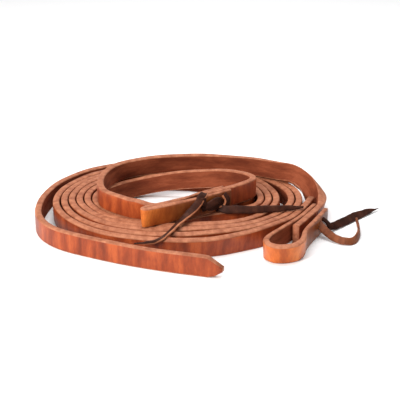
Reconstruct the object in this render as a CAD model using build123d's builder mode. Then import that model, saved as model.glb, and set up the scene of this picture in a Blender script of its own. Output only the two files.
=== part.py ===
from build123d import *
import math
import os

os.makedirs("parts", exist_ok=True)

# A pair of split reins coiled together on edge, each with a folded leather water loop at its bit
# end and a latigo thong tying the loop shut. Millimetres, +Z up.

# driving dimensions
rein_width = 16.0
rein_thickness = 5.4
loop_width = 16.0
loop_thickness = 3.6  # loop beside the coil
lapped_loop_thickness = 2.8  # loop pressed flat over the coil
upper_level = 16.3  # underside of a strap resting on the coil
thong_width = 6.0
thong_thickness = 1.8
thong_hole_radius = 3.2
thong_pin_radius = 2.6
centre_x = 25.89  # centre of the whole object in the coordinates below
centre_y = -8.865

# routes: plan position of the strap's middle and height of its underside
lap_rein_route = [
    (20.0, -32.1, 16.3), (31.2, -23.8, 16.3), (42.0, -15.3, 16.3), (51.5, -7.2, 16.3),
    (61.9, 3.9, 16.3), (61.6, 15.2, 16.3), (50.6, 24.8, 16.3), (34.8, 34.4, 14.5),
    (20.9, 41.0, 11.8), (-0.1, 47.7, 8.2), (-20.3, 50.9, 4.5), (-38.4, 48.2, 1.3),
    (-53.5, 40.0, 0.0), (-68.2, 22.3, 0.0), (-70.6, -0.3, 0.0), (-61.7, -20.5, 0.0),
    (-48.1, -35.5, 0.0), (-31.3, -43.9, 0.0), (-14.3, -45.4, 0.0), (0.3, -42.5, 0.0),
    (12.7, -31.5, 0.0), (28.8, -23.5, 0.0), (46.0, -20.0, 0.0), (61.8, -15.2, 0.0),
    (68.9, -0.2, 0.0), (66.9, 21.7, 0.0), (57.4, 41.7, 0.0), (42.2, 58.0, 0.0), (22.7, 69.5, 0.0),
    (0.2, 75.2, 0.0), (-23.8, 73.9, 0.0), (-47.3, 65.7, 0.0), (-69.0, 50.4, 0.0),
    (-81.6, 26.5, 0.0), (-84.0, -0.3, 0.0), (-73.7, -24.4, 0.0), (-58.9, -43.2, 0.0),
    (-40.0, -55.8, 0.0), (-19.0, -59.9, 0.0), (0.2, -58.7, 0.0), (17.5, -54.9, 0.0),
    (38.0, -53.5, 0.0), (58.7, -43.2, 0.0), (73.9, -24.4, 0.0), (82.1, -0.2, 0.0),
    (79.6, 25.8, 0.0), (68.6, 49.7, 0.0), (50.8, 69.7, 0.0), (27.4, 83.8, 0.0), (0.2, 90.4, 0.0),
    (-28.4, 87.9, 0.0), (-55.6, 76.8, 0.0), (-78.8, 57.4, 0.0), (-93.5, 30.3, 0.0),
    (-96.5, -0.2, 0.0), (-88.2, -29.0, 0.0), (-71.8, -52.6, 0.0), (-49.4, -68.6, 0.0),
    (-24.5, -76.4, 0.0), (0.1, -78.1, 0.0), (23.8, -73.8, 0.0), (48.1, -67.0, 0.0),
    (71.3, -52.4, 0.0), (90.3, -29.9, 0.0), (101.8, -0.3, 0.0), (97.1, 31.7, 0.0),
    (80.1, 58.3, 0.0), (59.1, 81.1, 0.0), (32.3, 98.5, 0.0), (0.3, 107.1, 0.0), (-33.9, 105.0, 0.0),
    (-66.3, 91.6, 0.0), (-93.3, 67.9, 0.0), (-109.6, 35.5, 0.0), (-114.8, 0.2, 0.0),
    (-113.0, -36.9, 0.0), (-95.7, -67.3, 0.0), (-56.7, -89.9, 0.0), (-24.2, -105.3, 0.0),
    (5.6, -115.6, 0.0), (34.3, -124.2, 0.0),
]
bit_rein_route = [
    (95.2, -60.5, 0.0), (98.5, -50.5, 0.0), (104.5, -36.3, 0.0), (110.0, -25.8, 0.0),
    (116.1, -13.7, 0.0), (118.9, -2.3, 0.0), (121.0, 11.7, 0.0), (121.4, 24.4, 2.7),
    (116.9, 33.8, 6.7), (109.3, 40.7, 10.8), (99.6, 45.7, 14.9), (84.5, 51.8, 16.3),
    (66.4, 61.8, 16.3), (36.1, 69.2, 16.3), (2.3, 71.2, 16.3), (-24.5, 65.9, 16.3),
    (-47.7, 52.9, 16.3), (-59.1, 36.3, 16.3), (-64.9, 15.8, 16.3), (-64.7, -6.4, 16.3),
    (-60.5, -22.8, 16.3), (-49.3, -34.5, 16.3), (-33.5, -46.1, 16.3), (-17.5, -45.5, 16.3),
    (-5.3, -37.6, 15.6), (5.6, -28.3, 10.9), (20.0, -16.4, 5.2), (34.4, -9.0, 0.2),
    (45.7, -6.5, 0.0), (55.6, -1.8, 0.0), (60.6, 7.9, 0.0), (60.0, 20.3, 0.0), (52.1, 38.0, 0.0),
    (38.4, 52.7, 0.0), (20.6, 63.1, 0.0), (0.2, 68.0, 0.0), (-21.6, 67.2, 0.0), (-43.1, 59.8, 0.0),
    (-63.1, 46.2, 0.0), (-76.0, 24.7, 0.0), (-77.0, -0.4, 0.0), (-67.7, -22.4, 0.0),
    (-53.7, -39.5, 0.0), (-35.5, -49.7, 0.0), (-16.5, -52.2, 0.0), (0.2, -49.0, 0.0),
    (15.0, -38.0, 0.0), (34.0, -30.0, 0.0), (51.2, -27.0, 0.0), (67.8, -20.6, 0.0),
    (75.3, -0.2, 0.0), (73.3, 23.7, 0.0), (63.3, 45.9, 0.0), (46.7, 64.1, 0.0), (25.0, 76.7, 0.0),
    (0.2, 82.2, 0.0), (-25.9, 80.4, 0.0), (-51.0, 70.8, 0.0), (-73.9, 54.0, 0.0),
    (-87.6, 28.4, 0.0), (-90.6, -0.3, 0.0), (-80.2, -26.5, 0.0), (-64.6, -47.4, 0.0),
    (-43.8, -61.0, 0.0), (-21.3, -66.7, 0.0), (0.2, -67.4, 0.0), (20.4, -63.7, 0.0),
    (43.4, -60.8, 0.0), (65.5, -48.2, 0.0), (83.6, -27.8, 0.0), (95.2, -0.3, 0.0),
    (90.6, 29.6, 0.0), (75.0, 54.6, 0.0), (55.2, 75.7, 0.0), (29.8, 91.1, 0.0), (0.2, 98.0, 0.0),
    (-30.8, 95.1, 0.0), (-59.5, 82.2, 0.0), (-83.7, 61.0, 0.0), (-99.3, 32.3, 0.0),
    (-103.5, -0.2, 0.0), (-95.0, -31.2, 0.0), (-77.8, -56.8, 0.0), (-54.9, -76.0, 0.0),
    (-27.6, -85.6, 0.0), (-0.1, -90.5, 0.0), (28.4, -87.4, 0.0), (53.5, -73.8, 0.0),
    (76.3, -55.8, 0.0), (96.7, -33.2, 0.0), (110.6, 5.8, 0.0),
]
lap_loop_route = [
    (41.9, -21.3, 16.3), (32.6, -28.6, 16.3), (20.1, -38.6, 16.3), (9.0, -45.7, 16.3),
    (-3.1, -55.0, 16.3), (-14.4, -62.5, 16.3), (-24.9, -67.7, 16.3), (-28.5, -68.7, 16.3),
    (-30.7, -66.4, 16.3), (-28.9, -64.2, 16.3), (-16.8, -58.9, 16.3), (-4.9, -52.2, 16.3),
    (6.3, -43.4, 16.3), (10.1, -36.5, 16.3), (14.8, -30.7, 16.3), (26.2, -21.7, 16.3),
    (36.0, -14.2, 16.3),
]
bit_loop_route = [
    (119.5, -21.8, 0.0), (110.7, -42.6, 0.0), (103.1, -58.1, 0.0), (97.7, -71.6, 0.0),
    (95.5, -83.7, 0.0), (91.8, -94.0, 0.0), (85.4, -100.5, 0.0), (76.6, -102.2, 0.0),
    (70.6, -99.0, 0.0), (67.9, -92.1, 0.0), (67.4, -85.2, 0.0), (71.4, -76.1, 0.0),
    (81.6, -62.6, 0.0), (94.9, -42.9, 0.0), (101.9, -31.8, 0.0), (111.4, -11.6, 0.0),
]
strand_a = [
    (30.8, -35.8, 16.3), (36.5, -34.6, 16.3), (44.0, -34.4, 16.3), (53.4, -35.6, 16.3),
    (65.5, -34.4, 16.3), (77.6, -31.5, 16.3), (89.8, -29.6, 16.3), (100.5, -25.4, 16.3),
]
strand_b = [
    (27.0, -38.6, 16.4), (15.3, -47.0, 16.4), (4.4, -55.8, 16.4), (-2.0, -68.0, 16.4),
    (-6.0, -82.0, 16.4), (-11.0, -93.0, 16.4), (-20.0, -96.6, 16.4), (-32.0, -95.2, 16.4),
]
strand_c = [
    (118.2, -37.0, 0.0), (117.6, -43.5, 0.0), (120.6, -52.5, 0.0), (126.8, -60.2, 0.0),
    (134.3, -62.2, 0.0), (140.4, -55.6, 0.0), (145.2, -42.0, 0.0), (146.2, -28.0, 0.0),
    (146.8, -13.2, 0.0),
]
strand_d = [
    (122.6, -33.6, 0.0), (131.8, -27.7, 0.0), (144.2, -15.2, 0.0), (156.4, -1.2, 0.0),
    (168.0, 13.0, 0.0),
]
strand_riser = [
    (118.2, -37.6, 0.0), (120.6, -34.6, 0.0), (124.2, -33.0, 0.0),
]
lap_hole_at = (26.6, -27.0, 23.0)  # on the middle of the strap; heading points out of the near face
lap_hole_heading = math.radians(-53.0)
bit_hole_at = (107.6, -34.3, 10.6)
bit_hole_heading = math.radians(-25.0)


def placed(points):
    return [(x - centre_x, y - centre_y) for x, y, z in points]


def rounded(points):
    """Corners rounded by arcs: each arc is (start, middle, end, centre, radius, side of turn)."""
    arcs = []
    for (ax, ay), (bx, by), (cx, cy) in zip(points, points[1:], points[2:]):
        la, lc = math.hypot(ax - bx, ay - by), math.hypot(cx - bx, cy - by)
        ux, uy, vx, vy = (ax - bx) / la, (ay - by) / la, (cx - bx) / lc, (cy - by) / lc
        cross = -ux * vy + uy * vx
        turn = math.acos(max(-1.0, min(1.0, -(ux * vx + uy * vy))))
        back = 0.45 * min(la, lc)
        radius = back / math.tan(turn / 2)
        side = 1.0 if cross > 0 else -1.0
        sx, sy = bx + ux * back, by + uy * back
        ex, ey = bx + vx * back, by + vy * back
        ox, oy = sx + side * uy * radius, sy - side * ux * radius
        arcs.append(((sx, sy), (bx, by), (ex, ey), (ox, oy), radius, side))
    return arcs


def band_outline(points, first, last, thickness):
    """Closed outline of a strap of this thickness seen from above, from run `first` to run `last`,
    cut at the middle of those runs; None means the route's own end."""
    arcs = rounded(points)
    low = 0 if first is None else first
    high = len(arcs) if last is None else last
    if first is None:
        start = points[0]
    else:
        start = tuple((a + b) / 2 for a, b in zip(points[first], points[first + 1]))
    if last is None:
        end = points[-1]
    else:
        end = tuple((a + b) / 2 for a, b in zip(points[last], points[last + 1]))
    used = arcs[low:high]
    sides = []
    for sign in (1.0, -1.0):
        offset = sign * thickness / 2  # positive is left of travel
        row = []

        def beside(point, towards):
            dx, dy = towards[0] - point[0], towards[1] - point[1]
            length = math.hypot(dx, dy)
            return (point[0] - dy / length * offset, point[1] + dx / length * offset)

        here = beside(start, points[low + 1])
        for s, b, e, o, radius, side in used:
            reach = (radius - side * offset) / radius

            def on(point):
                return (o[0] + (point[0] - o[0]) * reach, o[1] + (point[1] - o[1]) * reach)

            mid = math.hypot(b[0] - o[0], b[1] - o[1])
            middle = (o[0] + (b[0] - o[0]) / mid * radius, o[1] + (b[1] - o[1]) / mid * radius)
            row.append((here, on(s)))
            row.append((on(s), on(middle), on(e)))
            here = on(e)
        before = points[high]
        dx, dy = end[0] - before[0], end[1] - before[1]
        length = math.hypot(dx, dy)
        row.append((here, (end[0] - dy / length * offset, end[1] + dx / length * offset)))
        sides.append(row)
    left, right = sides
    outline = list(left) + [(left[-1][-1], right[-1][-1])]
    outline += [tuple(reversed(piece)) for piece in reversed(right)]
    outline.append((right[0][0], left[0][0]))
    return outline


def draw(outline):
    """Adds the outline's edges to the line being built."""
    for piece in outline:
        if len(piece) == 2:
            Line(*piece)
        else:
            ThreePointArc(*piece)


def plan_length(points):
    total = sum(math.hypot(b[0] - a[0], b[1] - a[1]) for a, b in zip(points, points[1:]))
    for s, b, e, o, radius, side in rounded(points):
        leg = math.hypot(b[0] - s[0], b[1] - s[1])
        total += 2 * radius * math.atan(leg / radius) - 2 * leg
    return total


def bent_profile(steps, height):
    """Side view of a strap changing level: steps are (distance, underside height)."""
    return steps + [(s, z + height) for s, z in reversed(steps)] + [steps[0]]


lap = placed(lap_rein_route)
bit = placed(bit_rein_route)
bit_loop_line = placed(bit_loop_route)
lap_loop_line = placed(lap_loop_route)
print("lap rein plan length", round(plan_length(lap)), "bit rein plan length", round(plan_length(bit)))
print("loop strap lengths", round(plan_length(bit_loop_line)), round(plan_length(lap_loop_line)))
print("reins are flat cords, width", rein_width, "thickness", rein_thickness)

# ---- holes for the thongs, each a plane across the strap
bit_hole = Plane(
    origin=(bit_hole_at[0] - centre_x, bit_hole_at[1] - centre_y, bit_hole_at[2]),
    x_dir=(0, 0, 1),
    z_dir=(math.cos(bit_hole_heading), math.sin(bit_hole_heading), 0),
)
lap_hole = Plane(
    origin=(lap_hole_at[0] - centre_x, lap_hole_at[1] - centre_y, lap_hole_at[2]),
    x_dir=(0, 0, 1),
    z_dir=(math.cos(lap_hole_heading), math.sin(lap_hole_heading), 0),
)

# ---- rein whose bit end lies in the loop lapped over the coil
with BuildPart() as lap_upper:
    with BuildSketch(Plane.XY.offset(upper_level)):
        with BuildLine():
            draw(band_outline(lap, None, 5, rein_thickness))
        make_face()
    extrude(amount=rein_width)

with BuildPart() as lap_slope:
    with BuildSketch(Plane.XY):
        with BuildLine():
            draw(band_outline(lap, 5, 12, rein_thickness))
        make_face()
    extrude(amount=40)
    with BuildSketch(Plane(origin=(-centre_x, 0, 0), x_dir=(1, 0, 0), z_dir=(0, -1, 0))):
        with BuildLine():
            Polyline(
                *bent_profile(
                    [(150, upper_level), (45, upper_level), (-45, 0), (-150, 0)], rein_width
                )
            )
        make_face()
    extrude(amount=200, both=True, mode=Mode.INTERSECT)

with BuildPart() as lap_floor:
    with BuildSketch(Plane.XY):
        with BuildLine():
            draw(band_outline(lap, 12, None, rein_thickness))
        make_face()
    extrude(amount=rein_width)
    # pointed tip: a long cut off the upper corner, a short one off the lower
    with BuildSketch(
        Plane(
            origin=(lap[-1][0], lap[-1][1], 0),
            x_dir=(lap[-1][0] - lap[-2][0], lap[-1][1] - lap[-2][1], 0),
            z_dir=(lap[-1][1] - lap[-2][1], lap[-2][0] - lap[-1][0], 0),
        )
    ):
        with BuildLine():
            Polyline((-13, 16.5), (0.5, 5.6), (3, 5.6), (3, 16.5), (-13, 16.5))
        make_face()
        with BuildLine():
            Polyline((-5.5, -0.5), (0.5, 5.4), (3, 5.4), (3, -0.5), (-5.5, -0.5))
        make_face()
    extrude(amount=6, both=True, mode=Mode.SUBTRACT)

with BuildPart() as rein_left:
    add(lap_upper.part)
    add(lap_slope.part)
    add(lap_floor.part)
    with BuildSketch(lap_hole):
        Circle(thong_hole_radius)
    extrude(amount=9, both=True, mode=Mode.SUBTRACT)

# ---- rein whose bit end lies in the loop beside the coil
with BuildPart() as bit_start:
    with BuildSketch(Plane.XY):
        with BuildLine():
            draw(band_outline(bit, None, 5, rein_thickness))
        make_face()
    extrude(amount=rein_width)

with BuildPart() as bit_rise:
    with BuildSketch(Plane.XY):
        with BuildLine():
            draw(band_outline(bit, 5, 12, rein_thickness))
        make_face()
    extrude(amount=40)
    with BuildSketch(
        Plane(
            origin=(119.6 - centre_x, 14.3 - centre_y, 0),
            x_dir=(-0.633, 0.773, 0),
            z_dir=(0.773, 0.633, 0),
        )
    ):
        with BuildLine():
            Polyline(
                *bent_profile(
                    [(-200, 0), (0, 0), (upper_level / 0.40, upper_level), (260, upper_level)],
                    rein_width,
                )
            )
        make_face()
    extrude(amount=200, both=True, mode=Mode.INTERSECT)

with BuildPart() as bit_upper:
    with BuildSketch(Plane.XY.offset(upper_level)):
        with BuildLine():
            draw(band_outline(bit, 12, 22, rein_thickness))
        make_face()
    extrude(amount=rein_width)

with BuildPart() as bit_fall:
    with BuildSketch(Plane.XY):
        with BuildLine():
            draw(band_outline(bit, 22, 29, rein_thickness))
        make_face()
    extrude(amount=40)
    with BuildSketch(
        Plane(
            origin=(-7.4 - centre_x, -38.4 - centre_y, 0),
            x_dir=(61, 38, 0),
            z_dir=(38, -61, 0),
        )
    ):
        with BuildLine():
            Polyline(
                *bent_profile(
                    [(-200, upper_level), (0, upper_level), (upper_level / 0.32, 0), (260, 0)],
                    rein_width,
                )
            )
        make_face()
    extrude(amount=200, both=True, mode=Mode.INTERSECT)

with BuildPart() as bit_floor:
    with BuildSketch(Plane.XY):
        with BuildLine():
            draw(band_outline(bit, 29, None, rein_thickness))
        make_face()
    extrude(amount=rein_width)

with BuildPart() as rein_right:
    add(bit_start.part)
    add(bit_rise.part)
    add(bit_upper.part)
    add(bit_fall.part)
    add(bit_floor.part)
    with BuildSketch(bit_hole):
        Circle(thong_hole_radius)
    extrude(amount=9, both=True, mode=Mode.SUBTRACT)

# ---- folded water loops, leather on edge, open at the tie
with BuildPart() as water_loop_left:
    with BuildSketch(Plane.XY.offset(upper_level)):
        with BuildLine():
            draw(band_outline(lap_loop_line, None, None, lapped_loop_thickness))
        make_face()
    extrude(amount=loop_width)
    with BuildSketch(lap_hole):
        Circle(thong_hole_radius)
    extrude(amount=10, both=True, mode=Mode.SUBTRACT)

with BuildPart() as water_loop_right:
    with BuildSketch(Plane.XY):
        with BuildLine():
            draw(band_outline(bit_loop_line, None, None, loop_thickness))
        make_face()
    extrude(amount=loop_width)
    with BuildSketch(bit_hole):
        Circle(thong_hole_radius)
    extrude(amount=10, both=True, mode=Mode.SUBTRACT)

# ---- latigo tie of the lapped loop: a pin through the hole, a flat knot on the near face, one
# strand lying along the coil to the right, one crossing it to the front
with BuildPart() as latigo_tie_left:
    with BuildSketch(lap_hole.offset(-6.5)):
        Circle(thong_pin_radius)
    extrude(amount=14)
    with BuildSketch(lap_hole.offset(7.0)):
        Rectangle(7, 15)
    extrude(amount=2.8)
    with BuildSketch(Plane.XY.offset(upper_level)):
        with BuildLine():
            draw(band_outline(placed(strand_a), None, None, thong_thickness))
        make_face()
    extrude(amount=thong_width)

with BuildPart() as strand_over:
    with BuildSketch(Plane.XY):
        with BuildLine():
            draw(band_outline(placed(strand_b), None, None, thong_thickness))
        make_face()
    extrude(amount=40)
    with BuildSketch(Plane(origin=(0, -centre_y, 0), x_dir=(0, 1, 0), z_dir=(1, 0, 0))):
        with BuildLine():
            Polyline(
                *bent_profile(
                    [(0, 22.4), (-42, 22.4), (-58, 16.4), (-93.2, 16.4), (-99, 12.2)], thong_width
                )
            )
        make_face()
    extrude(amount=200, both=True, mode=Mode.INTERSECT)

with BuildPart() as tie_left:
    add(latigo_tie_left.part)
    add(strand_over.part)

# ---- latigo tie of the loop beside the coil: pin, knot, a strand looped on the floor and a tail
with BuildPart() as tie_right:
    with BuildSketch(bit_hole.offset(-8.0)):
        Circle(thong_pin_radius)
    extrude(amount=18)
    with BuildSketch(bit_hole.offset(8.9)):
        Rectangle(8, 6)
    extrude(amount=3.0)
    with BuildSketch(Plane.XY):
        with BuildLine():
            draw(band_outline(placed(strand_c), None, None, thong_thickness))
        make_face()
    extrude(amount=thong_width)
    with BuildSketch(Plane.XY):
        with BuildLine():
            draw(band_outline(placed(strand_d), None, None, thong_thickness))
        make_face()
    extrude(amount=thong_width)
    with BuildSketch(Plane.XY):
        with BuildLine():
            draw(band_outline(placed(strand_riser), None, None, 2.4))
        make_face()
    extrude(amount=13)

pieces = {
    "rein_strap_left": rein_left.part,
    "rein_strap_right": rein_right.part,
    "water_loop_left": water_loop_left.part,
    "water_loop_right": water_loop_right.part,
    "latigo_tie_left": tie_left.part,
    "latigo_tie_right": tie_right.part,
}
rein_left.part.label = "rein_strap_left"
rein_right.part.label = "rein_strap_right"
water_loop_left.part.label = "water_loop_left"
water_loop_right.part.label = "water_loop_right"
tie_left.part.label = "latigo_tie_left"
tie_right.part.label = "latigo_tie_right"
export_step(rein_left.part, "parts/rein_strap_left.step")
export_step(rein_right.part, "parts/rein_strap_right.step")
export_step(water_loop_left.part, "parts/water_loop_left.step")
export_step(water_loop_right.part, "parts/water_loop_right.step")
export_step(tie_left.part, "parts/latigo_tie_left.step")
export_step(tie_right.part, "parts/latigo_tie_right.step")
low = [min(getattr(p.bounding_box().min, a) for p in pieces.values()) for a in "XYZ"]
high = [max(getattr(p.bounding_box().max, a) for p in pieces.values()) for a in "XYZ"]
print("overall box", [round(v, 2) for v in low], [round(v, 2) for v in high])
for name, part in pieces.items():
    print(name, "solids", len(part.solids()), "volume", round(part.volume))
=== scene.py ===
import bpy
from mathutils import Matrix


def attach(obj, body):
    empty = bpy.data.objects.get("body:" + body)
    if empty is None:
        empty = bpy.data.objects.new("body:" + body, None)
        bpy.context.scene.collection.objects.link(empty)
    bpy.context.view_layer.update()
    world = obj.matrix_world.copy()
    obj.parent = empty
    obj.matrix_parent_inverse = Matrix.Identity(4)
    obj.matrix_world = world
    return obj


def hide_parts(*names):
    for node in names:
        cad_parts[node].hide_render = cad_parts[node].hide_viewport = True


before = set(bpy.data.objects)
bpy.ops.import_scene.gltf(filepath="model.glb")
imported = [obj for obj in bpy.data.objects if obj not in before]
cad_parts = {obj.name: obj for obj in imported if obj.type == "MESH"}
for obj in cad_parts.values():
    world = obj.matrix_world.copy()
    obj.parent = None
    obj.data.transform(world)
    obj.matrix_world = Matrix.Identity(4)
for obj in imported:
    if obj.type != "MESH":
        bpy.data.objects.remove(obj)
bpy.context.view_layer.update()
import bisect
import math

import bmesh
import bpy
from mathutils import Vector

scene = bpy.context.scene

# control points of the straps' middles, metres
lap_rein_route = [
    (-0.00589, -0.02323, 0.02430), (0.00531, -0.01494, 0.02430), (0.01611, -0.00644, 0.02430),
    (0.02561, 0.00167, 0.02430), (0.03601, 0.01277, 0.02430), (0.03571, 0.02406, 0.02430),
    (0.02471, 0.03367, 0.02430), (0.00891, 0.04326, 0.02250), (-0.00499, 0.04986, 0.01980),
    (-0.02599, 0.05657, 0.01620), (-0.04619, 0.05976, 0.01250), (-0.06429, 0.05707, 0.00930),
    (-0.07939, 0.04886, 0.00800), (-0.09409, 0.03116, 0.00800), (-0.09649, 0.00856, 0.00800),
    (-0.08759, -0.01163, 0.00800), (-0.07399, -0.02663, 0.00800), (-0.05719, -0.03503, 0.00800),
    (-0.04019, -0.03653, 0.00800), (-0.02559, -0.03363, 0.00800), (-0.01319, -0.02263, 0.00800),
    (0.00291, -0.01464, 0.00800), (0.02011, -0.01113, 0.00800), (0.03591, -0.00633, 0.00800),
    (0.04301, 0.00867, 0.00800), (0.04101, 0.03056, 0.00800), (0.03151, 0.05057, 0.00800),
    (0.01631, 0.06686, 0.00800), (-0.00319, 0.07836, 0.00800), (-0.02569, 0.08407, 0.00800),
    (-0.04969, 0.08277, 0.00800), (-0.07319, 0.07456, 0.00800), (-0.09489, 0.05926, 0.00800),
    (-0.10749, 0.03537, 0.00800), (-0.10989, 0.00856, 0.00800), (-0.09959, -0.01553, 0.00800),
    (-0.08479, -0.03433, 0.00800), (-0.06589, -0.04693, 0.00800), (-0.04489, -0.05103, 0.00800),
    (-0.02569, -0.04984, 0.00800), (-0.00839, -0.04603, 0.00800), (0.01211, -0.04464, 0.00800),
    (0.03281, -0.03433, 0.00800), (0.04801, -0.01553, 0.00800), (0.05621, 0.00867, 0.00800),
    (0.05371, 0.03467, 0.00800), (0.04271, 0.05857, 0.00800), (0.02491, 0.07856, 0.00800),
    (0.00151, 0.09266, 0.00800), (-0.02569, 0.09927, 0.00800), (-0.05429, 0.09677, 0.00800),
    (-0.08149, 0.08566, 0.00800), (-0.10469, 0.06627, 0.00800), (-0.11939, 0.03916, 0.00800),
    (-0.12239, 0.00867, 0.00800), (-0.11409, -0.02013, 0.00800), (-0.09769, -0.04373, 0.00800),
    (-0.07529, -0.05973, 0.00800), (-0.05039, -0.06754, 0.00800), (-0.02579, -0.06924, 0.00800),
    (-0.00209, -0.06494, 0.00800), (0.02221, -0.05813, 0.00800), (0.04541, -0.04353, 0.00800),
    (0.06441, -0.02103, 0.00800), (0.07591, 0.00856, 0.00800), (0.07121, 0.04056, 0.00800),
    (0.05421, 0.06716, 0.00800), (0.03321, 0.08996, 0.00800), (0.00641, 0.10736, 0.00800),
    (-0.02559, 0.11596, 0.00800), (-0.05979, 0.11386, 0.00800), (-0.09219, 0.10046, 0.00800),
    (-0.11919, 0.07676, 0.00800), (-0.13549, 0.04437, 0.00800), (-0.14069, 0.00907, 0.00800),
    (-0.13889, -0.02803, 0.00800), (-0.12159, -0.05843, 0.00800), (-0.08259, -0.08104, 0.00800),
    (-0.05009, -0.09644, 0.00800), (-0.02029, -0.10673, 0.00800), (0.00841, -0.11534, 0.00800),
]
bit_rein_route = [
    (0.06931, -0.05164, 0.00800), (0.07261, -0.04163, 0.00800), (0.07861, -0.02743, 0.00800),
    (0.08411, -0.01694, 0.00800), (0.09021, -0.00483, 0.00800), (0.09301, 0.00657, 0.00800),
    (0.09511, 0.02056, 0.00800), (0.09551, 0.03327, 0.01070), (0.09101, 0.04267, 0.01470),
    (0.08341, 0.04957, 0.01880), (0.07371, 0.05457, 0.02290), (0.05861, 0.06066, 0.02430),
    (0.04051, 0.07066, 0.02430), (0.01021, 0.07806, 0.02430), (-0.02359, 0.08006, 0.02430),
    (-0.05039, 0.07476, 0.02430), (-0.07359, 0.06177, 0.02430), (-0.08499, 0.04516, 0.02430),
    (-0.09079, 0.02466, 0.02430), (-0.09059, 0.00246, 0.02430), (-0.08639, -0.01394, 0.02430),
    (-0.07519, -0.02563, 0.02430), (-0.05939, -0.03723, 0.02430), (-0.04339, -0.03664, 0.02430),
    (-0.03119, -0.02874, 0.02360), (-0.02029, -0.01944, 0.01890), (-0.00589, -0.00753, 0.01320),
    (0.00851, -0.00013, 0.00820), (0.01981, 0.00237, 0.00800), (0.02971, 0.00707, 0.00800),
    (0.03471, 0.01677, 0.00800), (0.03411, 0.02916, 0.00800), (0.02621, 0.04687, 0.00800),
    (0.01251, 0.06157, 0.00800), (-0.00529, 0.07197, 0.00800), (-0.02569, 0.07686, 0.00800),
    (-0.04749, 0.07606, 0.00800), (-0.06899, 0.06866, 0.00800), (-0.08899, 0.05507, 0.00800),
    (-0.10189, 0.03356, 0.00800), (-0.10289, 0.00847, 0.00800), (-0.09359, -0.01353, 0.00800),
    (-0.07959, -0.03063, 0.00800), (-0.06139, -0.04084, 0.00800), (-0.04239, -0.04333, 0.00800),
    (-0.02569, -0.04013, 0.00800), (-0.01089, -0.02913, 0.00800), (0.00811, -0.02113, 0.00800),
    (0.02531, -0.01813, 0.00800), (0.04191, -0.01174, 0.00800), (0.04941, 0.00867, 0.00800),
    (0.04741, 0.03256, 0.00800), (0.03741, 0.05477, 0.00800), (0.02081, 0.07296, 0.00800),
    (-0.00089, 0.08557, 0.00800), (-0.02569, 0.09106, 0.00800), (-0.05179, 0.08926, 0.00800),
    (-0.07689, 0.07966, 0.00800), (-0.09979, 0.06287, 0.00800), (-0.11349, 0.03726, 0.00800),
    (-0.11649, 0.00856, 0.00800), (-0.10609, -0.01763, 0.00800), (-0.09049, -0.03853, 0.00800),
    (-0.06969, -0.05214, 0.00800), (-0.04719, -0.05783, 0.00800), (-0.02569, -0.05854, 0.00800),
    (-0.00549, -0.05484, 0.00800), (0.01751, -0.05193, 0.00800), (0.03961, -0.03934, 0.00800),
    (0.05771, -0.01894, 0.00800), (0.06931, 0.00856, 0.00800), (0.06471, 0.03847, 0.00800),
    (0.04911, 0.06347, 0.00800), (0.02931, 0.08457, 0.00800), (0.00391, 0.09996, 0.00800),
    (-0.02569, 0.10687, 0.00800), (-0.05669, 0.10396, 0.00800), (-0.08539, 0.09106, 0.00800),
    (-0.10959, 0.06986, 0.00800), (-0.12519, 0.04117, 0.00800), (-0.12939, 0.00867, 0.00800),
    (-0.12089, -0.02234, 0.00800), (-0.10369, -0.04793, 0.00800), (-0.08079, -0.06714, 0.00800),
    (-0.05349, -0.07673, 0.00800), (-0.02599, -0.08163, 0.00800), (0.00251, -0.07854, 0.00800),
    (0.02761, -0.06494, 0.00800), (0.05041, -0.04693, 0.00800), (0.07081, -0.02434, 0.00800),
    (0.08471, 0.01466, 0.00800),
]
lap_loop_route = [
    (0.01601, -0.01243, 0.02430), (0.00671, -0.01973, 0.02430), (-0.00579, -0.02974, 0.02430),
    (-0.01689, -0.03683, 0.02430), (-0.02899, -0.04613, 0.02430), (-0.04029, -0.05363, 0.02430),
    (-0.05079, -0.05883, 0.02430), (-0.05439, -0.05983, 0.02430), (-0.05659, -0.05754, 0.02430),
    (-0.05479, -0.05534, 0.02430), (-0.04269, -0.05003, 0.02430), (-0.03079, -0.04333, 0.02430),
    (-0.01959, -0.03453, 0.02430), (-0.01579, -0.02763, 0.02430), (-0.01109, -0.02184, 0.02430),
    (0.00031, -0.01283, 0.02430), (0.01011, -0.00533, 0.02430),
]
bit_loop_route = [
    (0.09361, -0.01294, 0.00800), (0.08481, -0.03374, 0.00800), (0.07721, -0.04924, 0.00800),
    (0.07181, -0.06273, 0.00800), (0.06961, -0.07484, 0.00800), (0.06591, -0.08514, 0.00800),
    (0.05951, -0.09164, 0.00800), (0.05071, -0.09334, 0.00800), (0.04471, -0.09014, 0.00800),
    (0.04201, -0.08324, 0.00800), (0.04151, -0.07634, 0.00800), (0.04551, -0.06724, 0.00800),
    (0.05571, -0.05373, 0.00800), (0.06901, -0.03403, 0.00800), (0.07601, -0.02294, 0.00800),
    (0.08551, -0.00273, 0.00800),
]
coil_centre = (-0.02589, 0.00886)


def smooth_line(name, points, resolution=10):
    """Points of the quadratic NURBS line through a route's control points."""
    curve = bpy.data.curves.new(name + "_line", "CURVE")
    curve.dimensions = "3D"
    curve.resolution_u = resolution
    spline = curve.splines.new("NURBS")
    spline.points.add(len(points) - 1)
    for p, co in zip(spline.points, points):
        p.co = (co[0], co[1], co[2], 1.0)
    spline.order_u = 3
    spline.use_endpoint_u = True
    holder = bpy.data.objects.new(name + "_line", curve)
    scene.collection.objects.link(holder)
    bpy.context.view_layer.update()
    mesh = bpy.data.meshes.new_from_object(holder)
    row = [v.co.copy() for v in mesh.vertices]
    bpy.data.objects.remove(holder)
    bpy.data.meshes.remove(mesh)
    bpy.data.curves.remove(curve)
    clean = [row[0]]
    for co in row[1:]:
        if (co - clean[-1]).length > 1e-5:
            clean.append(co)
    return clean


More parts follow.
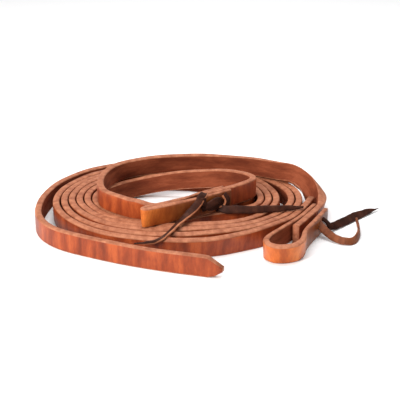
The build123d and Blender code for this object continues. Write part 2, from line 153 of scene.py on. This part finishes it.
def stations(line, points, table):
    """A value at each ring of a line, from values at some control point numbers."""
    keys = sorted(table)
    marks = [0]
    for p in points[1:]:
        co = Vector(p)
        start = marks[-1]
        best = min(range(start, min(len(line), start + 60)), key=lambda i: (line[i] - co).length)
        marks.append(best)
    marks[-1] = len(line) - 1
    values = []
    for i in range(len(line)):
        j = bisect.bisect_right(marks, i) - 1
        j = max(0, min(len(marks) - 2, j))
        span = max(1, marks[j + 1] - marks[j])
        u = j + (i - marks[j]) / span
        if u <= keys[0]:
            values.append(table[keys[0]])
        elif u >= keys[-1]:
            values.append(table[keys[-1]])
        else:
            k = bisect.bisect_right(keys, u) - 1
            f = (u - keys[k]) / (keys[k + 1] - keys[k])
            f = f * f * (3 - 2 * f)
            values.append(table[keys[k]] * (1 - f) + table[keys[k + 1]] * f)
    return values


def strap(name, points, width, thickness, grain_side, lean=None, lean_fn=None, tip=None,
          round_r=0.0009, mats=(), wave=0.00025, seed=0.0, pivot_top=True, low_lean=None, swell=None):
    """A leather strap on edge: rounded rectangular rings along its line, grain on one face, flesh
    on the other, burnished edges."""
    line = smooth_line(name, points)
    n = len(line)
    tan = []
    for i in range(n):
        a, b = line[max(0, i - 1)], line[min(n - 1, i + 1)]
        tan.append((b - a).normalized())
    leans = stations(line, points, lean) if lean else [0.0] * n
    low_leans = stations(line, points, low_lean) if low_lean else [0.0] * n
    swells = stations(line, points, swell) if swell else [1.0] * n
    run = [0.0]
    for a, b in zip(line, line[1:]):
        run.append(run[-1] + (b - a).length)
    total = run[-1]
    h, t, r = width / 2, thickness / 2, round_r
    # section: (out, up, material) counter-clockwise seen along the strap; 0 grain 1 flesh 2 edge
    prof = []
    for k in range(7):
        f = k / 6
        prof.append((t + 0.0001 * math.sin(math.pi * f), -h + r + (2 * h - 2 * r) * f, 0 if k < 6 else 2))
    for ang in (30, 60):
        a = math.radians(ang)
        prof.append((t - r + r * math.cos(a), h - r + r * math.sin(a), 2))
    for k in range(5):
        f = k / 4
        prof.append((t - r - (2 * t - 2 * r) * f, h + 0.00012 * math.sin(math.pi * f), 2))
    for ang in (120, 150):
        a = math.radians(ang)
        prof.append((-t + r + r * math.cos(a), h - r + r * math.sin(a), 2))
    for k in range(7):
        f = k / 6
        prof.append((-t, h - r - (2 * h - 2 * r) * f, 1 if k < 6 else 2))
    for ang in (210, 240):
        a = math.radians(ang)
        prof.append((-t + r + r * math.cos(a), -h + r + r * math.sin(a), 2))
    for k in range(5):
        f = k / 4
        prof.append((-t + r + (2 * t - 2 * r) * f, -h, 2))
    for ang in (300, 330):
        a = math.radians(ang)
        prof.append((t - r + r * math.cos(a), -h + r + r * math.sin(a), 2))
    m = len(prof)
    verts, faces, fmat, uvs = [], [], [], []
    around = [0.0]
    for a, b in zip(prof, prof[1:] + prof[:1]):
        around.append(around[-1] + math.hypot(b[0] - a[0], b[1] - a[1]))
    up0 = Vector((0, 0, 1))
    centres = []
    for i in range(n):
        tx, ty = tan[i].x, tan[i].y
        ln = math.hypot(tx, ty) or 1.0
        left = Vector((-ty / ln, tx / ln, 0))
        out = -left if grain_side == "right" else left
        th = leans[i]
        if lean_fn:
            th += lean_fn(i, line[i], run[i], total)
        low = low_leans[i] > 0.01
        if low:
            th = low_leans[i]
        th = math.radians(th)
        up = up0 * math.cos(th) + out * math.sin(th)
        ou = out * math.cos(th) - up0 * math.sin(th)
        if low:
            centre = line[i] + (up - up0) * h
        elif pivot_top:
            centre = line[i] + (up0 - up) * h
        else:
            centre = line[i] + Vector((0, 0, h * (math.cos(th) - 1) + 0.5 * thickness * abs(math.sin(th))))
        centres.append(centre)
        s = run[i]
        wob = wave * (math.sin(s * 61 + seed) * 0.6 + math.sin(s * 143 + 2.1 * seed) * 0.4)
        top, bot, thin = 0.0, 0.0, swells[i]
        if tip:
            left_over = total - s
            if left_over < tip[0]:
                f = 1 - left_over / tip[0]
                top = (width * 0.47) * f
            if left_over < tip[1]:
                f = 1 - left_over / tip[1]
                bot = (width * 0.34) * f
            if left_over < 0.008:
                thin = 1 - 0.12 * (1 - left_over / 0.008)
        hi, lo = h - top, -h + bot
        for k, (a, b, mt) in enumerate(prof):
            if top or bot:
                bb = lo + (b + h) / (2 * h) * (hi - lo)
            else:
                bb = b
            verts.append(centre + ou * (a * thin + wob * 0.5) + up * (bb + (wob if b > 0 else 0.0)))
    for i in range(n - 1):
        for k in range(m):
            k2 = (k + 1) % m
            q = (i * m + k, i * m + k2, (i + 1) * m + k2, (i + 1) * m + k)
            if grain_side == "right":
                q = q[::-1]
            faces.append(q)
            fmat.append(prof[k][2])
            ua, ub = run[i], run[i + 1]
            va, vb = around[k], around[k + 1]
            uv = [(ua, va), (ua, vb), (ub, vb), (ub, va)]
            if grain_side == "right":
                uv = uv[::-1]
            uvs.extend(uv)
    for end in (0, n - 1):
        loop = [end * m + k for k in range(m)]
        if (end == 0) == (grain_side == "right"):
            pass
        else:
            loop = loop[::-1]
        faces.append(loop)
        fmat.append(2)
        uvs.extend([(run[end] + 0.0003 * k, around[k % m]) for k in range(m)])
    mesh = bpy.data.meshes.new(name)
    mesh.from_pydata([tuple(v) for v in verts], [], faces)
    layer = mesh.uv_layers.new(name="UVMap")
    for lp, uv in zip(layer.data, uvs):
        lp.uv = uv
    for mat in mats:
        mesh.materials.append(mat)
    for p, mi in zip(mesh.polygons, fmat):
        p.material_index = mi
        p.use_smooth = True
    mesh.validate()
    bm = bmesh.new()
    bm.from_mesh(mesh)
    bmesh.ops.recalc_face_normals(bm, faces=bm.faces)
    bm.to_mesh(mesh)
    bm.free()
    obj = bpy.data.objects.new(name, mesh)
    scene.collection.objects.link(obj)
    return obj, centres


def ribbon(name, points, normals, widths, thickness, mat, resolution=10, lit=0, lit_mat=None):
    """A thong: a thin strip along its line; normals are the flat face's direction at each control
    point and widths its width there. lit is the side of its bare cut edge."""
    line = smooth_line(name, points, resolution)
    n = len(line)
    comp = [stations(line, points, {i: v[c] for i, v in enumerate(normals)}) for c in range(3)]
    wid = stations(line, points, dict(enumerate(widths)))
    verts, faces, uvs = [], [], []
    run = [0.0]
    for a, b in zip(line, line[1:]):
        run.append(run[-1] + (b - a).length)
    t = thickness / 2
    for i in range(n):
        a, b = line[max(0, i - 1)], line[min(n - 1, i + 1)]
        tn = (b - a).normalized()
        nv = Vector((comp[0][i], comp[1][i], comp[2][i]))
        nv = (nv - tn * nv.dot(tn)).normalized()
        side = tn.cross(nv).normalized()
        h = wid[i] / 2
        c = min(t * 0.7, h * 0.5)
        cr = min(0.0011, h * 0.5) if lit > 0 else c
        cl = min(0.0011, h * 0.5) if lit < 0 else c
        wob = 0.00012 * math.sin(run[i] * 310) + 0.00008 * math.sin(run[i] * 790 + 1)
        ring = [
            (h, 0), (h - cr * 0.35, t * 0.75), (h - cr, t), (h * 0.33, t * 1.04), (-h * 0.33, t * 1.04), (-h + cl, t),
            (-h + cl * 0.35, t * 0.75), (-h, 0), (-h + c * 0.35, -t * 0.75), (-h + c, -t), (-h * 0.33, -t), (h * 0.33, -t),
            (h - c, -t), (h - c * 0.35, -t * 0.75),
        ]
        for x, y in ring:
            verts.append(line[i] + side * (x + wob) + nv * y)
    m = 14
    for i in range(n - 1):
        for k in range(m):
            k2 = (k + 1) % m
            faces.append((i * m + k, i * m + k2, (i + 1) * m + k2, (i + 1) * m + k))
            uvs.extend([(run[i], k * 0.001), (run[i], (k + 1) * 0.001), (run[i + 1], (k + 1) * 0.001), (run[i + 1], k * 0.001)])
    for end in (0, n - 1):
        faces.append([end * m + k for k in range(m)])
        uvs.extend([(run[end], k * 0.001) for k in range(m)])
    mesh = bpy.data.meshes.new(name)
    mesh.from_pydata([tuple(v) for v in verts], [], faces)
    layer = mesh.uv_layers.new(name="UVMap")
    for lp, uv in zip(layer.data, uvs):
        lp.uv = uv
    mesh.materials.append(mat)
    if lit:
        mesh.materials.append(lit_mat)
    bare = (0, 1, 13) if lit > 0 else (5, 6, 7)
    for p in mesh.polygons:
        p.use_smooth = True
        if lit and p.index < (n - 1) * m and p.index % m in bare:
            p.material_index = 1
    bm = bmesh.new()
    bm.from_mesh(mesh)
    bmesh.ops.recalc_face_normals(bm, faces=bm.faces)
    bm.to_mesh(mesh)
    bm.free()
    obj = bpy.data.objects.new(name, mesh)
    scene.collection.objects.link(obj)
    return obj, line


def leather(name, dark, mid, light, rough, bump, stretch=(1.0, 1.0), grain=900.0, mottle=55.0, spec=0.45, coat=0.0, light_at=0.62, painted_bend_highlight=None):
    mat = bpy.data.materials.new(name)
    mat.use_nodes = True
    nt = mat.node_tree
    nt.nodes.clear()
    out = nt.nodes.new("ShaderNodeOutputMaterial")
    bsdf = nt.nodes.new("ShaderNodeBsdfPrincipled")
    nt.links.new(bsdf.outputs["BSDF"], out.inputs["Surface"])
    bsdf.inputs["Roughness"].default_value = rough
    bsdf.inputs["Specular IOR Level"].default_value = spec
    bsdf.inputs["Coat Weight"].default_value = coat
    bsdf.inputs["Coat Roughness"].default_value = 0.35
    uv = nt.nodes.new("ShaderNodeUVMap")
    uv.uv_map = "UVMap"
    mp = nt.nodes.new("ShaderNodeMapping")
    mp.inputs["Scale"].default_value = (stretch[0], stretch[1], 1.0)
    nt.links.new(uv.outputs["UV"], mp.inputs["Vector"])
    n1 = nt.nodes.new("ShaderNodeTexNoise")
    n1.inputs["Scale"].default_value = mottle
    n1.inputs["Detail"].default_value = 5.0
    n1.inputs["Roughness"].default_value = 0.6
    nt.links.new(mp.outputs["Vector"], n1.inputs["Vector"])
    ramp = nt.nodes.new("ShaderNodeValToRGB")
    el = ramp.color_ramp.elements
    el[0].position = 0.36
    el[0].color = (*dark, 1)
    el[1].position = light_at
    el[1].color = (*light, 1)
    e = el.new((0.36 + light_at) / 2)
    e.color = (*mid, 1)
    nt.links.new(n1.outputs["Fac"], ramp.inputs["Fac"])
    n2 = nt.nodes.new("ShaderNodeTexNoise")
    n2.inputs["Scale"].default_value = grain
    n2.inputs["Detail"].default_value = 3.0
    nt.links.new(mp.outputs["Vector"], n2.inputs["Vector"])
    mix = nt.nodes.new("ShaderNodeMix")
    mix.data_type = "RGBA"
    mix.blend_type = "MULTIPLY"
    mix.inputs["Factor"].default_value = 0.5
    cr2 = nt.nodes.new("ShaderNodeMapRange")
    cr2.inputs["From Min"].default_value = 0.3
    cr2.inputs["From Max"].default_value = 0.7
    cr2.inputs["To Min"].default_value = 0.72
    cr2.inputs["To Max"].default_value = 1.1
    nt.links.new(n2.outputs["Fac"], cr2.inputs["Value"])
    nt.links.new(ramp.outputs["Color"], mix.inputs["A"])
    comb = nt.nodes.new("ShaderNodeCombineColor")
    for ch in ("Red", "Green", "Blue"):
        nt.links.new(cr2.outputs["Result"], comb.inputs[ch])
    nt.links.new(comb.outputs["Color"], mix.inputs["B"])
    colour = mix.outputs["Result"]
    # painted highlight and shade: colour stays full near the loop's bend (by UV distance along the strap) and is
    # darkened towards the legs, standing in for the light falling on the bend
    if painted_bend_highlight:
        sep = nt.nodes.new("ShaderNodeSeparateXYZ")
        nt.links.new(uv.outputs["UV"], sep.inputs["Vector"])
        sub = nt.nodes.new("ShaderNodeMath")
        sub.operation = "SUBTRACT"
        sub.inputs[1].default_value = painted_bend_highlight[0]
        nt.links.new(sep.outputs["X"], sub.inputs[0])
        away = nt.nodes.new("ShaderNodeMath")
        away.operation = "ABSOLUTE"
        nt.links.new(sub.outputs["Value"], away.inputs[0])
        fade = nt.nodes.new("ShaderNodeMapRange")
        fade.interpolation_type = "SMOOTHSTEP"
        fade.inputs["From Min"].default_value = painted_bend_highlight[1]
        fade.inputs["From Max"].default_value = painted_bend_highlight[2]
        fade.inputs["To Min"].default_value = 1.0
        fade.inputs["To Max"].default_value = painted_bend_highlight[3]
        nt.links.new(away.outputs["Value"], fade.inputs["Value"])
        highlight_tone = nt.nodes.new("ShaderNodeCombineColor")
        for ch in ("Red", "Green", "Blue"):
            nt.links.new(fade.outputs["Result"], highlight_tone.inputs[ch])
        dim = nt.nodes.new("ShaderNodeMix")
        dim.data_type = "RGBA"
        dim.blend_type = "MULTIPLY"
        dim.inputs["Factor"].default_value = 1.0
        nt.links.new(colour, dim.inputs["A"])
        nt.links.new(highlight_tone.outputs["Color"], dim.inputs["B"])
        colour = dim.outputs["Result"]
    nt.links.new(colour, bsdf.inputs["Base Color"])
    bp = nt.nodes.new("ShaderNodeBump")
    bp.inputs["Strength"].default_value = bump
    bp.inputs["Distance"].default_value = 0.0004
    nt.links.new(n2.outputs["Fac"], bp.inputs["Height"])
    nt.links.new(bp.outputs["Normal"], bsdf.inputs["Normal"])
    return mat


grain_mat = leather("grain", (0.165, 0.025, 0.006), (0.265, 0.043, 0.010), (0.40, 0.078, 0.018), 0.45, 0.18,
                    stretch=(1.6, 0.35), grain=900, mottle=60, spec=0.24, coat=0.06)
flesh_mat = leather("flesh", (0.125, 0.026, 0.011), (0.18, 0.041, 0.017), (0.24, 0.060, 0.026), 0.85, 0.3,
                    stretch=(0.35, 1.6), grain=800, mottle=90, spec=0.08)
edge_mat = leather("edge", (0.25, 0.078, 0.036), (0.335, 0.115, 0.056), (0.43, 0.165, 0.085), 0.6, 0.25,
                   stretch=(1.3, 1.0), grain=700, mottle=110, spec=0.2)
# water-loop grain: a brighter, yellower copy of the rein grain, a painted highlight for the lit bends of the loops;
# darkened along the legs away from the bend (painted shade)
loop_grain_painted_highlight = leather("loop_grain_painted_highlight", (0.34, 0.065, 0.011), (0.52, 0.118, 0.020), (0.70, 0.195, 0.036), 0.42, 0.18,
                     stretch=(1.2, 0.35), grain=900, mottle=60, spec=0.26, coat=0.08, painted_bend_highlight=(0.090, 0.012, 0.042, 0.40))
loop_flesh = leather("loop_flesh", (0.17, 0.042, 0.017), (0.24, 0.060, 0.025), (0.31, 0.082, 0.036), 0.85, 0.3,
                     stretch=(0.35, 1.6), grain=800, mottle=90, spec=0.08)
thong_mat = leather("latigo", (0.022, 0.006, 0.003), (0.038, 0.010, 0.005), (0.065, 0.020, 0.010), 0.55, 0.3,
                    stretch=(1, 1), grain=600, mottle=120, spec=0.12)
thong_brown = leather("latigo_brown", (0.10, 0.026, 0.009), (0.16, 0.045, 0.016), (0.23, 0.07, 0.027), 0.6, 0.3,
                      stretch=(1, 1), grain=600, mottle=120, spec=0.15)
thong_tan = leather("latigo_cut_edge", (0.30, 0.10, 0.045), (0.40, 0.14, 0.065), (0.50, 0.19, 0.09), 0.6, 0.2,
                    stretch=(1, 1), grain=600, mottle=120, spec=0.15)
leathers = (grain_mat, flesh_mat, edge_mat)
loop_leathers = (loop_grain_painted_highlight, loop_flesh, edge_mat)


def coil_lean(azimuth):
    """Degrees that the coil's floor turns lean outward at the top, by direction from its middle."""
    keys = [(0, -6), (40, -10), (90, -8), (135, -3), (180, 0), (215, 5), (240, 12), (270, 16), (300, 12), (330, 2), (360, -6)]
    for (a, va), (b, vb) in zip(keys, keys[1:]):
        if a <= azimuth <= b:
            f = (azimuth - a) / (b - a)
            return va + (vb - va) * f
    return 0.0


def floor_lean(first, last, end_fade):
    def fn(i, co, s, total):
        x, y = co.x - coil_centre[0], co.y - coil_centre[1]
        az = math.degrees(math.atan2(y, x)) % 360
        f = 1.0
        if s < first:
            f = 0.0
        elif s < first + 0.05:
            f = (s - first) / 0.05
        if last and s > last:
            f = max(0.0, 1 - (s - last) / end_fade)
        return coil_lean(az) * f
    return fn


# ---- the two reins
for index, shift in ((0, (-0.0032, 0.0006)), (1, (-0.0012, 0.0)), (7, (-0.0018, 0)), (8, (-0.0019, -0.0009)), (9, (-0.0013, -0.0014))):
    x, y, z = bit_rein_route[index]
    bit_rein_route[index] = (x + shift[0], y + shift[1], z)
left_rein, left_line = strap("rein_left", lap_rein_route, 0.016, 0.0054, "right",
                             lean_fn=floor_lean(0.27, 1.72, 0.08), tip=(0.0118, 0.0082), mats=leathers, seed=0.4)
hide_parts("rein_strap_left")
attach(left_rein, "root")

right_rein, right_line = strap("rein_right", bit_rein_route, 0.016, 0.0054, "right",
                               lean={4: 0, 6: 30, 7: 45, 8: 50, 9: 48, 10: 36, 11: 15, 12: 6, 14: -8, 16: -6, 18: 0},
                               swell={4: 1.0, 6: 1.55, 9: 1.5, 11: 1.0},
                               low_lean={21: 0, 22: 6, 23: 32, 24: 30, 25: 15, 26: 0},
                               lean_fn=floor_lean(0.68, 1.93, 0.06), mats=leathers, seed=1.7)
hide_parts("rein_strap_right")
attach(right_rein, "root")

# ---- water loops: the bends, where the two plies are pressed together or spread
lap_loop_shape = ((4, (-0.02969, -0.04513, 0.02430)), (5, (-0.04049, -0.05233, 0.02430)), (6, (-0.04769, -0.05704, 0.02430)), (7, (-0.05119, -0.05813, 0.02430)), (8, (-0.05289, -0.05573, 0.02430)), (9, (-0.05089, -0.05273, 0.02430)), (10, (-0.04249, -0.04773, 0.02430)), (11, (-0.03169, -0.04113, 0.02430)), (12, (-0.02099, -0.03243, 0.02430)))
bit_loop_shape = ((5, (0.06591, -0.08314, 0.00800)), (6, (0.05951, -0.08873, 0.00800)), (7, (0.05071, -0.09034, 0.00800)), (8, (0.04451, -0.08754, 0.00800)), (9, (0.04171, -0.08134, 0.00800)))
for index, co in lap_loop_shape:
    lap_loop_route[index] = co
for index, co in bit_loop_shape:
    bit_loop_route[index] = co
lap_loop, lap_loop_line_ = strap("water_loop_over_coil", lap_loop_route, 0.016, 0.0028, "left",
                                 lean={2: 0, 4: 5, 5: 9, 6: 8, 7: 5, 8: 4, 9: 2, 10: 0},
                                 swell={2: 1.0, 4: 1.7, 6: 1.5, 7: 1.3, 9: 1.3, 10: 1.6, 11: 1.7, 13: 1.0}, mats=loop_leathers, seed=2.2)
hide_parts("water_loop_left")
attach(lap_loop, "root")
bit_loop, bit_loop_line_ = strap("water_loop_beside", bit_loop_route, 0.016, 0.0036, "left",
                                 lean={3: 0, 5: 10, 6: 18, 7: 20, 8: 16, 9: 6, 10: 0},
                                 swell={3: 1.0, 5: 1.35, 9: 1.35, 12: 1.0}, mats=loop_leathers, seed=3.1, pivot_top=False)
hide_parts("water_loop_right")
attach(bit_loop, "root")


# ---- thongs: control points of each strand's middle, metres
strand_front = [
    (-0.00439, -0.02543, 0.03240), (-0.00529, -0.02834, 0.03360), (-0.00729, -0.03234, 0.03160),
    (-0.01129, -0.03813, 0.02700), (-0.01589, -0.04333, 0.02360), (-0.02089, -0.04874, 0.02080),
    (-0.02539, -0.05613, 0.01890), (-0.02909, -0.06513, 0.01820), (-0.03269, -0.07464, 0.01800),
    (-0.03689, -0.08314, 0.01730), (-0.04539, -0.08654, 0.01560), (-0.05739, -0.08554, 0.01460),
]
strand_right = [
    (0.00741, -0.02323, 0.02020), (0.01161, -0.02513, 0.01890), (0.01811, -0.02513, 0.01930),
    (0.02751, -0.02574, 0.01920), (0.03961, -0.02474, 0.01920), (0.05171, -0.02234, 0.01900),
    (0.06391, -0.01994, 0.01860), (0.07491, -0.01594, 0.01790),
]
knot_a = [
    (-0.00707, -0.03309, 0.02260), (-0.00343, -0.03211, 0.02400), (0.00077, -0.03021, 0.02600),
    (0.00449, -0.02767, 0.02720), (0.00721, -0.02463, 0.02700), (0.00825, -0.02186, 0.02520),
]
knot_b = [
    (0.01057, -0.01912, 0.03020), (0.01287, -0.01952, 0.02760), (0.01367, -0.01991, 0.02420),
    (0.01253, -0.02089, 0.02080), (0.00937, -0.02251, 0.01900), (0.00505, -0.02425, 0.01960),
]
knot_c = [
    (0.00979, -0.02057, 0.02360), (0.00605, -0.02475, 0.02220), (0.00149, -0.02867, 0.02220),
    (-0.00275, -0.03135, 0.02360), (-0.00587, -0.03320, 0.02700), (-0.00579, -0.03263, 0.03160),
]
strand_loop = [
    (0.08751, -0.02803, 0.01320), (0.08414, -0.03022, 0.01220), (0.08784, -0.03635, 0.00820),
    (0.09356, -0.04288, 0.00460), (0.10008, -0.05092, 0.00330), (0.10668, -0.05413, 0.00310),
    (0.11220, -0.05085, 0.00310), (0.11668, -0.04088, 0.00320), (0.11948, -0.02687, 0.00360),
    (0.11960, -0.01002, 0.00440),
]
strand_tail = [
    (0.09407, -0.02511, 0.00420), (0.09972, -0.02183, 0.00360), (0.10921, -0.01105, 0.00340),
    (0.11999, 0.00157, 0.00330), (0.13068, 0.01195, 0.00310), (0.14291, 0.02348, 0.00220),
]
strand_short = [
    (0.08971, -0.02673, 0.01220), (0.09202, -0.02670, 0.01050), (0.09504, -0.02610, 0.00700),
    (0.09749, -0.02657, 0.00460),
]


def lace(name, points, normals, widths, mat, node, thickness=0.0018, lit=0):
    obj, line = ribbon(name, points, normals, widths, thickness, mat, lit=lit, lit_mat=thong_tan)
    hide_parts(node)
    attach(obj, "root")
    return obj


face_out = (0.6, -0.8, 0.0)
lace("latigo_front_strand", strand_front,
     [(0, -0.2, 1), (0.3, -0.5, 0.8), (0.25, -0.85, 0.45), (0.1, -0.85, 0.5), (-0.1, -0.8, 0.55), (-0.3, -0.65, 0.7), (-0.35, -0.4, 0.85),
      (-0.3, -0.3, 0.9), (-0.3, -0.3, 0.9), (-0.1, -0.6, 0.8), (0, -0.9, 0.4), (0, -1, 0.2)],
     [0.006, 0.0065, 0.0068, 0.0066, 0.0062, 0.0055, 0.005, 0.0046, 0.0042, 0.0036, 0.003, 0.0012], thong_mat, "latigo_tie_left", lit=-1)
lace("latigo_right_strand", strand_right,
     [(0.4, -0.8, 0.3), (0.2, -0.85, 0.45), (0.05, -0.9, 0.42), (0, -0.9, 0.42), (0, -0.9, 0.42), (-0.05, -0.9, 0.42), (-0.1, -0.85, 0.5), (-0.1, -0.8, 0.6)],
     [0.006, 0.0066, 0.0066, 0.0064, 0.0060, 0.0054, 0.0044, 0.002], thong_mat, "latigo_tie_left")
lace("latigo_knot_a", knot_a, [(0.6, -0.8, 0.2), (0.5, -0.8, 0.35), (0.5, -0.8, 0.35), (0.55, -0.8, 0.2), (0.6, -0.8, 0.1), (0.7, -0.7, 0)],
     [0.005, 0.0058, 0.006, 0.006, 0.0054, 0.0042], thong_mat, "latigo_tie_left")
lace("latigo_knot_b", knot_b, [(0.6, -0.8, 0.4), (0.6, -0.8, 0.15), (0.65, -0.76, 0), (0.6, -0.8, 0), (0.5, -0.8, -0.2), (0.5, -0.8, -0.3)],
     [0.005, 0.0054, 0.0056, 0.0056, 0.0056, 0.005], thong_mat, "latigo_tie_left", lit=1)
lace("latigo_knot_c", knot_c, [(0.6, -0.8, 0), (0.6, -0.8, -0.1), (0.6, -0.8, -0.1), (0.6, -0.8, 0), (0.6, -0.8, 0.1), (0.6, -0.8, 0.3)],
     [0.0045, 0.0054, 0.0056, 0.0054, 0.005, 0.0045], thong_mat, "latigo_tie_left")
lace("latigo_loop_strand", strand_loop,
     [(0.6, -0.6, 0.5), (0.3, -0.75, 0.6), (0.05, -0.8, 0.6), (-0.1, -0.85, 0.5), (-0.05, -0.9, 0.42), (0.1, -0.92, 0.4), (0.55, -0.8, 0.3),
      (0.95, -0.3, 0.2), (1, 0, 0.15), (0.95, 0.3, 0.1)],
     [0.0058, 0.0064, 0.0066, 0.0064, 0.0062, 0.006, 0.006, 0.006, 0.0058, 0.0052], thong_brown, "latigo_tie_right")
lace("latigo_tail", strand_tail,
     [(0.1, -0.85, 0.5), (0.1, -0.85, 0.5), (0.15, -0.85, 0.5), (0.2, -0.8, 0.55), (0.2, -0.8, 0.55), (0.2, -0.8, 0.5)],
     [0.005, 0.0066, 0.007, 0.0072, 0.0056, 0.0008], thong_mat, "latigo_tie_right", thickness=0.0016)
lace("latigo_short_strand", strand_short, [(0.6, -0.7, 0.4), (0.6, -0.6, 0.5), (0.5, -0.6, 0.6), (0.3, -0.7, 0.6)],
     [0.0034, 0.0036, 0.004, 0.0046], thong_mat, "latigo_tie_right", thickness=0.0016)

# ---- floor, light, camera
bpy.ops.mesh.primitive_plane_add(size=8, location=(0, 0, 0))
floor = bpy.context.object
floor.name = "floor"
fm = bpy.data.materials.new("floor")
fm.use_nodes = True
fb = fm.node_tree.nodes["Principled BSDF"]
fb.inputs["Base Color"].default_value = (0.92, 0.92, 0.925, 1)
fb.inputs["Roughness"].default_value = 0.9
fb.inputs["Specular IOR Level"].default_value = 0.1
floor.data.materials.append(fm)

world = scene.world or bpy.data.worlds.new("World")
scene.world = world
world.use_nodes = True
bg = world.node_tree.nodes.get("Background")
bg.inputs["Color"].default_value = (1, 1, 1, 1)
bg.inputs["Strength"].default_value = 0.48


def area(name, location, target, size, energy, color=(1, 1, 1)):
    data = bpy.data.lights.new(name, "AREA")
    data.shape = "RECTANGLE"
    data.size, data.size_y = size
    data.energy = energy
    data.color = color
    obj = bpy.data.objects.new(name, data)
    obj.location = location
    d = Vector(target) - Vector(location)
    obj.rotation_euler = d.to_track_quat("-Z", "Y").to_euler()
    scene.collection.objects.link(obj)
    return obj


area("key", (-0.95, -0.98, 0.72), (0, 0, 0), (0.5, 0.5), 27.0, (1.0, 0.98, 0.95))
area("top", (0.0, 0.0, 1.35), (0, 0, 0), (0.9, 0.9), 13.0)
area("back", (0.2, 1.1, 1.3), (0, 0, 0), (1.2, 0.8), 6.0)

cam_data = bpy.data.cameras.new("camera")
cam_data.lens = 92.745
cam_data.sensor_width = 36.0
cam_data.sensor_fit = "HORIZONTAL"
cam_data.dof.use_dof = False
cam = bpy.data.objects.new("camera", cam_data)
cam.location = (0.0175 - 0.02589, -0.80472 + 0.008865, 0.30782)
cam.rotation_euler = (math.radians(70.0), 0.0, 0.0)
scene.collection.objects.link(cam)
scene.camera = cam
scene.view_settings.view_transform = "Standard"
scene.view_settings.look = "None"
scene.view_settings.exposure = 0.0
scene.view_settings.gamma = 1.0
